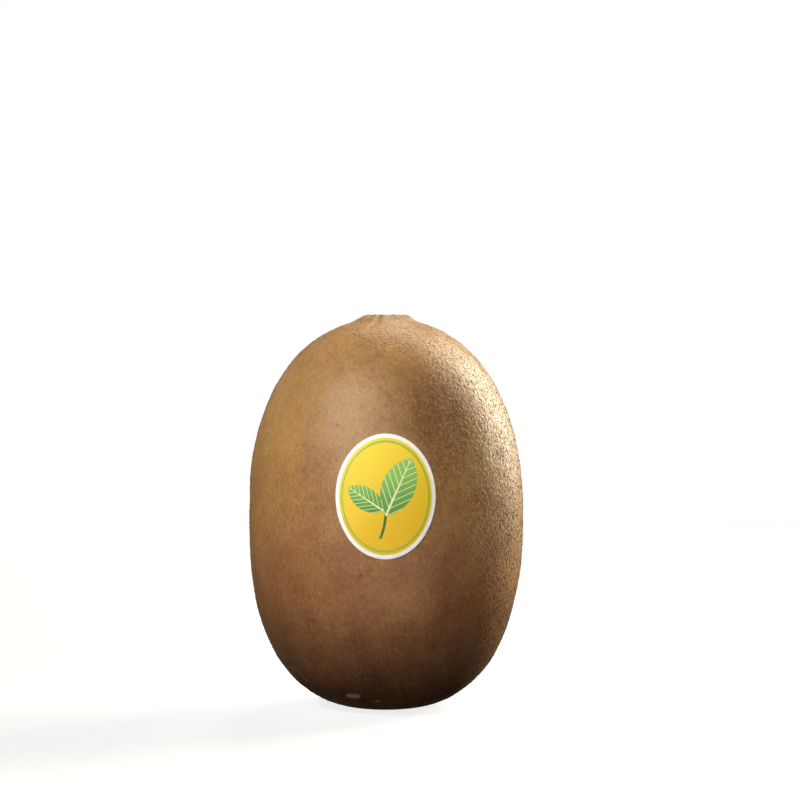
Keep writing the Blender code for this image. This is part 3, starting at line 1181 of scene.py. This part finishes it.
@dataclass
class StemScar:
    """What the stem left in the dish: a woody stub, a crust round it and dry flakes on the crest."""

    form: FruitForm
    cork: CorkFinish
    stub_radius: float = 1.75 * MM
    stub_depth: float = 0.9 * MM
    stub_rings: tuple[tuple[float, float], ...] = (
        (0.25 * MM, 0.12 * MM),
        (0.35 * MM, 0.05 * MM),
        (0.35 * MM, -0.04 * MM),
        (0.25 * MM, -0.22 * MM),
    )
    crust_radius: float = 2.75 * MM
    crust_thickness: float = 0.42 * MM
    flakes: int = 72
    flake_ring: float = 3.3 * MM
    flake_length: float = 0.7 * MM
    flake_width: float = 0.65 * MM
    flake_thickness: float = 0.06 * MM

    def build(self) -> list[bpy.types.Object]:
        """Makes the stub, the crust and the flakes.

        Returns:
            The three finished pieces.
        """
        middle = Vector((0.0, -self.form.bow / 2, self.form.stem_end_height(0.0)))
        pieces = [self._stub(middle), self._crust(middle), self._flakes(middle)]
        for piece in pieces:
            piece.data.shade_smooth()
            self.cork.on(piece)
            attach(piece, BODY)
        return pieces

    def _stub(self, middle: Vector) -> bpy.types.Object:
        """A short round of wood with a sunken pith and a torn top.

        Each ring of its top is given by its width and by how far it rises.
        """
        bpy.ops.mesh.primitive_cylinder_add(
            vertices=40,
            radius=self.stub_radius,
            depth=self.stub_depth,
            end_fill_type="NGON",
            location=middle + Vector((0, 0, self.stub_depth * 0.2)),
        )
        stub = named("stem_stub")
        settle(stub)
        top = middle.z + self.stub_depth * 0.7
        with editing(stub):
            bpy.ops.mesh.select_all(action="DESELECT")
        for face in stub.data.polygons:
            face.select = face.center.z > top - 0.01 * MM
        bpy.ops.object.mode_set(mode="EDIT")
        bpy.ops.mesh.select_mode(type="FACE")
        for width, rise in self.stub_rings:
            bpy.ops.mesh.inset(thickness=width, depth=rise)
        bpy.ops.mesh.poke()
        bpy.ops.object.mode_set(mode="OBJECT")
        work(stub, "SUBSURF", levels=2, render_levels=2)
        points = points_of(stub)
        around = np.arctan2(points[:, 1] - middle.y, points[:, 0])
        out = np.hypot(points[:, 0], points[:, 1] - middle.y) / self.stub_radius
        on_top = points[:, 2] > top - 0.1 * MM
        points[:, 2] += on_top * out * 0.07 * MM * np.cos(17 * around + 0.6)
        move_points(stub, points)
        roughen(stub, 0.7 * MM, 0.34 * MM)
        roughen(stub, 0.22 * MM, 0.14 * MM, depth=2)
        return stub

    def _crust(self, middle: Vector) -> bpy.types.Object:
        """A lumpy ring of dried cork between the stub and the collar."""
        bpy.ops.mesh.primitive_torus_add(
            major_radius=self.crust_radius,
            minor_radius=self.crust_thickness,
            major_segments=120,
            minor_segments=14,
            location=middle + Vector((0, 0, self.crust_thickness)),
        )
        crust = named("scar_crust")
        settle(crust)
        roughen(crust, 1.1 * MM, 0.5 * MM)
        roughen(crust, 0.35 * MM, 0.22 * MM, depth=2)
        return crust

    def _flakes(self, middle: Vector) -> bpy.types.Object:
        """Thin dry flakes that stand and curl along the collar's crest."""
        bpy.ops.mesh.primitive_grid_add(x_subdivisions=4, y_subdivisions=4, size=1.0)
        flake = named("flake")
        points = points_of(flake)
        along = points[:, 0] + 0.5
        points[:, 0] = along
        points[:, 1] *= 1 - 0.75 * along**2
        points[:, 2] = 0.14 * along**2 - 0.12 * (2 * points[:, 1]) ** 2
        move_points(flake, points)
        work(flake, "SOLIDIFY", thickness=self.flake_thickness / self.flake_length, offset=0.0)
        draw = np.random.default_rng(11)
        turns = np.linspace(0, FULL_TURN, self.flakes, endpoint=False)
        turns += draw.uniform(-0.08, 0.08, self.flakes)
        radius = self.flake_ring + draw.uniform(-0.4, 0.35, self.flakes) * MM
        spokes = np.column_stack((np.cos(turns), np.sin(turns), np.zeros(self.flakes)))
        roots = spokes * radius[:, None] + np.array(middle)
        roots[:, 2] = [self.form.stem_end_height(r) - 0.05 * MM for r in radius]
        inward = np.sign(draw.uniform(-1, 0.06, self.flakes))[:, None] * spokes
        rise = draw.uniform(-0.25, 0.12, (self.flakes, 1))
        heading = inward + np.array((0.0, 0.0, 1.0)) * rise
        heading += draw.uniform(-0.5, 0.5, (self.flakes, 3)) * (1, 1, 0)
        heading /= np.linalg.norm(heading, axis=1, keepdims=True)
        outward = np.array((0.0, 0.0, 1.0)) - heading * heading[:, 2:3]
        outward /= np.linalg.norm(outward, axis=1, keepdims=True)
        length = self.flake_length * draw.uniform(0.5, 1.15, (self.flakes, 1))
        width = self.flake_width * draw.uniform(0.6, 1.5, (self.flakes, 1))
        sizes = np.column_stack((length, width, length))
        return planted(flake, upright_frames(roots, outward, heading, sizes), "rim_flakes")


@dataclass
class FlowerEnd:
    """What the flower left in the pit of the foot: a dark nub and a star of dried threads."""

    form: FruitForm
    straw: StrawFinish
    cork: CorkFinish
    threads: int = 46
    nub_radius: float = 0.62 * MM

    def build(self) -> list[bpy.types.Object]:
        """Makes the nub and the threads.

        Returns:
            The two finished pieces.
        """
        pieces = [self._nub(), self._threads()]
        for piece, finish in zip(pieces, (self.cork, self.straw)):
            piece.data.shade_smooth()
            finish.on(piece)
            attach(piece, BODY)
        return pieces

    def _ceiling(self, radius: np.ndarray) -> np.ndarray:
        """Height of the pit's surface at this distance from its middle."""
        return self.form.pit_depth * (1 - (radius / self.form.pit_radius) ** 2)

    def _nub(self) -> bpy.types.Object:
        """A flattened lump at the middle of the pit, set into its surface."""
        height = self.form.pit_depth - 0.12 * MM
        bpy.ops.mesh.primitive_ico_sphere_add(
            subdivisions=4, radius=self.nub_radius, location=(0, -self.form.bow / 2, height)
        )
        nub = named("flower_nub")
        nub.scale = (1.0, 1.0, 0.5)
        settle(nub)
        roughen(nub, 0.45 * MM, 0.3 * MM)
        roughen(nub, 0.16 * MM, 0.12 * MM, depth=2)
        return nub

    def _threads(self) -> bpy.types.Object:
        """Dried threads that run out from the nub along the surface of the pit."""
        thread = Thread(thickness=0.10, arch=0.05, sway=0.10, sides=5, steps=5).build()
        draw = np.random.default_rng(23)
        turns = draw.uniform(0, FULL_TURN, self.threads)
        spokes = np.column_stack((np.cos(turns), np.sin(turns), np.zeros(self.threads)))
        start = draw.uniform(0.2, 0.75, self.threads) * MM
        length = draw.uniform(0.7, 1.35, self.threads) * MM
        slope = (self._ceiling(start + length) - self._ceiling(start)) / length
        roots = spokes * start[:, None] + (0.0, -self.form.bow / 2, 0.0)
        roots[:, 2] = self._ceiling(start) - draw.uniform(0.06, 0.14, self.threads) * MM
        heading = spokes + draw.normal(0, 0.25, (self.threads, 3)) * (1, 1, 0)
        heading[:, 2] = slope
        outward = np.tile((0.0, 0.0, -1.0), (self.threads, 1)) + spokes * slope[:, None]
        outward /= np.linalg.norm(outward, axis=1, keepdims=True)
        side = length * np.sign(draw.uniform(-1, 1, self.threads))
        sizes = np.column_stack((length, side, length * 0.9))
        return planted(thread, upright_frames(roots, outward, heading, sizes), "flower_threads")


@dataclass
class Down:
    """The short soft hairs that lie on the skin, in bands of height so that no mesh is too big."""

    form: FruitForm
    finish: DownFinish
    skin: bpy.types.Object
    hairs_per_band: int = 18500
    bands: tuple[str, ...] = ("down_lower", "down_middle", "down_upper")
    length: float = 0.42 * MM
    spread: float = 0.14 * MM
    shortest: float = 0.2 * MM
    longest: float = 0.9 * MM
    lean: Spot = (0.25, 0.0, -1.3)
    rooted: float = 0.02 * MM
    thickness: float = 0.15
    arch: float = 0.09
    label_margin: float = 0.75 * MM
    bare_scar: float = 3.6 * MM
    bare_foot: float = 1.0 * MM

    def build(self) -> list[bpy.types.Object]:
        """Makes the hairs of each band.

        Returns:
            One finished piece for each band.
        """
        count = len(self.skin.data.polygons)
        centres, normals, areas = np.empty(count * 3), np.empty(count * 3), np.empty(count)
        self.skin.data.polygons.foreach_get("center", centres)
        self.skin.data.polygons.foreach_get("normal", normals)
        self.skin.data.polygons.foreach_get("area", areas)
        centres, normals = centres.reshape(-1, 3), normals.reshape(-1, 3)
        areas = areas * self._grows(centres)
        order = np.argsort(centres[:, 2])
        shares = np.cumsum(areas[order]) / areas.sum()
        pieces = []
        for number, name in enumerate(self.bands):
            low, high = number / len(self.bands), (number + 1) / len(self.bands)
            chosen = order[(shares > low) & (shares <= high)]
            pieces.append(self._band(name, centres[chosen], normals[chosen], areas[chosen], number))
        return pieces

    def _grows(self, centres: np.ndarray) -> np.ndarray:
        """Where hair grows: not under the label, in the scar or on the foot."""
        low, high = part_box("fruit_label")
        middle = (low + high) / 2
        across = (centres[:, 0] - middle.x) / ((high.x - low.x) / 2 + self.label_margin)
        up = (centres[:, 2] - middle.z) / ((high.z - low.z) / 2 + self.label_margin)
        bare = (np.hypot(across, up) < 1) & (centres[:, 1] < 0)
        out = np.hypot(centres[:, 0], centres[:, 1] + self.form.bow / 2)
        scar = (out < self.bare_scar) & (centres[:, 2] > self.form.equator)
        return ~(bare | scar | (centres[:, 2] < self.bare_foot))

    def _band(
        self, name: str, centres: np.ndarray, normals: np.ndarray, areas: np.ndarray, seed: int
    ) -> bpy.types.Object:
        """Plants one band's hairs, most of them leaning down the fruit."""
        draw = np.random.default_rng(100 + seed)
        count = self.hairs_per_band
        roots = draw.choice(len(centres), count, p=areas / areas.sum())
        outward = normals[roots]
        loose = draw.normal(0, 1, (count, 3))
        heading = loose + np.array(self.lean)
        jitter = draw.normal(0, 0.16, (count, 3)) * MM
        jitter -= outward * np.sum(jitter * outward, axis=1, keepdims=True)
        starts = centres[roots] + jitter - outward * self.rooted
        length = draw.normal(self.length, self.spread, count)
        length = np.clip(length, self.shortest, self.longest)
        side = length * np.sign(draw.uniform(-1, 1, count))
        lift = length * draw.uniform(0.5, 1.5, count)
        frames = upright_frames(starts, outward, heading, np.column_stack((length, side, lift)))
        thread = Thread(thickness=self.thickness, arch=self.arch, sway=0.03).build()
        down = planted(thread, frames, name)
        self.finish.on(down)
        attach(down, BODY)
        return down


@dataclass
class Label:
    """An oval paper label, laid on the front of the fruit."""

    finish: LabelFinish
    skin: bpy.types.Object
    thickness: float = 0.10 * MM
    clearance: float = 0.06 * MM
    lift: float = 0.10 * MM
    lifted_from: float = 0.72
    segments: int = 96
    rings: int = 14

    def build(self) -> bpy.types.Object:
        """Makes the label.

        Returns:
            The finished piece, which stands for the solid of the label.
        """
        low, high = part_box("fruit_label")
        middle = (low + high) / 2
        half_width = (high.x - low.x) / 2
        half_height = (high.z - low.z) / 2
        bpy.ops.mesh.primitive_circle_add(
            vertices=self.segments,
            radius=half_height,
            fill_type="NGON",
            location=(middle.x, low.y - 5 * MM, middle.z),
            rotation=(math.pi / 2, 0, 0),
        )
        label = named("label")
        ring = half_height / self.rings
        with editing(label):
            for _ in range(self.rings - 1):
                bpy.ops.mesh.inset(thickness=ring * 0.98, depth=0)
            bpy.ops.mesh.poke()
            bpy.ops.mesh.select_all(action="SELECT")
            bpy.ops.transform.resize(value=(half_width / half_height, 1, 1))
        settle(label)
        self._map(label, middle, half_height)
        work(
            label,
            "SHRINKWRAP",
            target=self.skin,
            wrap_method="PROJECT",
            wrap_mode="ABOVE_SURFACE",
            use_project_y=True,
            use_positive_direction=True,
            use_negative_direction=False,
            offset=self.clearance + self.thickness,
        )
        work(label, "SMOOTH", factor=0.5, iterations=6)
        self._pucker(label, middle, half_width, half_height)
        work(label, "SOLIDIFY", thickness=self.thickness, offset=-1.0)
        hold(label)
        bpy.ops.object.shade_smooth_by_angle(angle=math.radians(40))
        self.finish.on(label)
        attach(label, BODY)
        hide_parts("fruit_label")
        return label

    def _map(self, label: bpy.types.Object, middle: Vector, half_height: float) -> None:
        """Keeps each point's place on the flat label, in half heights from its middle."""
        mesh = label.data
        for spare in list(mesh.uv_layers):
            mesh.uv_layers.remove(spare)
        flat = mesh.uv_layers.new(name=self.finish.map_name)
        for loop in mesh.loops:
            point = mesh.vertices[loop.vertex_index].co - middle
            flat.data[loop.index].uv = (point.x / half_height, point.z / half_height)

    def _pucker(
        self, label: bpy.types.Object, middle: Vector, half_width: float, half_height: float
    ) -> None:
        """Lifts the edge in small folds, where flat paper can't follow a round fruit."""
        points = points_of(label)
        across = (points[:, 0] - middle.x) / half_width
        up = (points[:, 2] - middle.z) / half_height
        around = np.arctan2(up, across)
        out = np.hypot(across, up)
        folds = np.maximum(np.cos(7 * around + 0.5) * np.cos(3 * around + 1.9), 0.0)
        points[:, 1] -= self.lift * folds * (1 - smooth_fall(out, self.lifted_from, 1.0))
        move_points(label, points)


# ---------------------------------------------------------------------------------------------
# Studio
# ---------------------------------------------------------------------------------------------


@dataclass(frozen=True)
class Softbox:
    """A soft light that points at the fruit, or at one place on it if it has an aim.

    Azimuth is measured round the fruit from the label's side, positive to the right of it. Spread is
    the angle of the beam, in degrees.
    """

    name: str
    azimuth: float
    elevation: float
    distance: float
    width: float
    height: float
    power: float
    colour: tuple[float, float, float] = (1.0, 1.0, 1.0)
    spread: float = 180.0
    aim: Spot | None = None

    def place(self, middle: Vector) -> None:
        """Hangs the light and turns it to its aim, or to the fruit's middle."""
        target = middle if self.aim is None else Vector(self.aim)
        turn, lift = math.radians(self.azimuth), math.radians(self.elevation)
        away = Vector(
            (math.sin(turn) * math.cos(lift), -math.cos(turn) * math.cos(lift), math.sin(lift))
        )
        bpy.ops.object.light_add(type="AREA", location=target + away * self.distance)
        lamp = bpy.context.active_object
        lamp.name = self.name
        lamp.rotation_euler = away.to_track_quat("Z", "Y").to_euler()
        lamp.data.shape = "RECTANGLE"
        lamp.data.size = self.width
        lamp.data.size_y = self.height
        lamp.data.energy = self.power
        lamp.data.color = self.colour
        lamp.data.spread = math.radians(self.spread)
        lamp.visible_camera = False


@dataclass(frozen=True)
class Studio:
    """The pale floor that the fruit stands on, its lights and the camera."""

    finish: PaleFinish = PaleFinish()
    floor_radius: float = 4.0
    lens: float = 100.0
    sensor: float = 36.0
    camera_elevation: float = 4.0
    view_width: float = 152.8 * MM
    aim_right: float = 2.67 * MM
    aim_up: float = 21.05 * MM
    ambient: float = 0.075
    ambient_colour: tuple[float, float, float] = (1.0, 0.84, 0.76)

    def build(self) -> None:
        """Sets up the floor, the lights, the camera and the surrounding light."""
        low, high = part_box("kiwi_fruit")
        middle = (low + high) / 2
        self._floor(low.z)
        for light in self._lights():
            light.place(middle)
        self._camera(middle)
        self._surroundings()
        bpy.context.scene.view_settings.view_transform = "Standard"

    @staticmethod
    def _lights() -> tuple[Softbox, ...]:
        """Strong lights behind at the right, soft ones behind, and narrow ones aimed at one place.

        The narrow ones light the left shoulder, the front, the crown and the right shoulder. Each
        light's numbers stand in the order of the fields of Softbox.
        """
        warm = (1.0, 0.98, 0.93)
        golden = (1.0, 0.955, 0.75)

        def at(right: float, up: float) -> Spot:
            """The place this far right of the fruit's axis and up from its foot, in millimetres."""
            return (right * MM, 0.0, up * MM)

        return (
            Softbox("key_snoot", -45, 40, 0.40, 0.10, 0.10, 0.0245, warm, 14, at(-8, 55)),
            Softbox("front_snoot", -25, 12, 0.50, 0.06, 0.06, 0.0052, warm, 10, at(-6, 38)),
            Softbox("upper_snoot", 0, 35, 0.50, 0.10, 0.10, 0.005, warm, 8, at(0, 66)),
            Softbox("lower_snoot", 12, 8, 0.50, 0.06, 0.06, 0.0024, warm, 9, at(0, 22)),
            Softbox("crown_snoot", 172, 55, 0.35, 0.12, 0.12, 0.011, warm, 14, at(-1, 72)),
            Softbox("shoulder_snoot", 137, 42, 0.35, 0.12, 0.12, 0.009, warm, 14, at(10, 68)),
            Softbox("rim_softbox", 130, 20, 0.35, 0.15, 0.25, 1.15, golden),
            Softbox("side_softbox", 115, 28, 0.35, 0.12, 0.25, 1.15, golden),
            Softbox("high_softbox", 120, 56, 0.30, 0.15, 0.15, 0.11, warm),
            Softbox("back_softbox", -140, 30, 0.75, 0.50, 0.50, 0.27, warm),
        )

    def _floor(self, height: float) -> None:
        """A wide round floor, cut into rings so that it can be shaped and shaded smoothly."""
        bpy.ops.mesh.primitive_circle_add(
            vertices=96, radius=self.floor_radius, fill_type="NGON", location=(0, 0, height)
        )
        floor = named("floor")
        with editing(floor):
            bpy.ops.mesh.inset(thickness=self.floor_radius * 0.6, depth=0)
            bpy.ops.mesh.inset(thickness=self.floor_radius * 0.2, depth=0)
        settle(floor)
        floor.visible_diffuse = False
        floor.visible_glossy = False
        self.finish.on(floor)

    def _camera(self, middle: Vector) -> None:
        """A long lens, just above the level of the fruit's middle, square on to the label."""
        lift = math.radians(self.camera_elevation)
        away = Vector((0.0, -math.cos(lift), math.sin(lift)))
        distance = self.lens * self.view_width / self.sensor
        bpy.ops.object.camera_add(location=middle + away * distance)
        camera = bpy.context.active_object
        camera.name = "camera"
        camera.data.lens = self.lens
        camera.data.sensor_width = self.sensor
        camera.data.clip_start = 0.01
        camera.data.clip_end = 50.0
        aim = middle + Vector((self.aim_right, 0.0, self.aim_up))
        camera.rotation_euler = (camera.location - aim).to_track_quat("Z", "Y").to_euler()
        bpy.context.scene.camera = camera

    def _surroundings(self) -> None:
        """Soft light from above the horizon, and plain white behind everything."""
        world = bpy.data.worlds.new("surroundings")
        bpy.context.scene.world = world
        world.use_nodes = True
        sheet = Sheet(world.node_tree)
        world.node_tree.nodes.clear()
        direction = sheet.add("TexCoord").outputs["Generated"]
        up = sheet.add("SeparateXYZ", {0: direction}).outputs[2]
        sky = sheet.math("MULTIPLY", sheet.ramp(up, -0.15, 0.9), self.ambient)
        soft = sheet.add("Background", {"Color": (*self.ambient_colour, 1.0), "Strength": sky})
        white = sheet.add("Background", {"Color": (1.0, 1.0, 1.0, 1.0), "Strength": 1.0})
        seen = sheet.add("LightPath").outputs["Is Camera Ray"]
        both = sheet.add("MixShader", {0: seen, 1: soft.outputs[0], 2: white.outputs[0]})
        end = sheet.add("OutputWorld", {"Surface": both.outputs[0]})
        end.is_active_output = True


def report(piece: bpy.types.Object) -> None:
    """Logs one piece's name, size and number of triangles."""
    size = [round(side / MM, 1) for side in piece.dimensions]
    faces = sum(len(face.vertices) - 2 for face in piece.data.polygons)
    LOG.info("%s: %s mm, %d triangles", piece.name, size, faces)


def main() -> None:
    """Builds every piece in order, then the studio around them."""
    logging.basicConfig(level=logging.INFO, format="%(message)s")
    form = FruitForm()
    skin = Fruit(form, SkinFinish()).build()
    report(skin)
    report(Label(LabelFinish(), skin).build())
    cork = CorkFinish()
    for piece in StemScar(form, cork).build():
        report(piece)
    for piece in FlowerEnd(form, StrawFinish(), cork).build():
        report(piece)
    for piece in Down(form, DownFinish(), skin).build():
        report(piece)
    Studio().build()


if __name__ == "__main__":
    main()
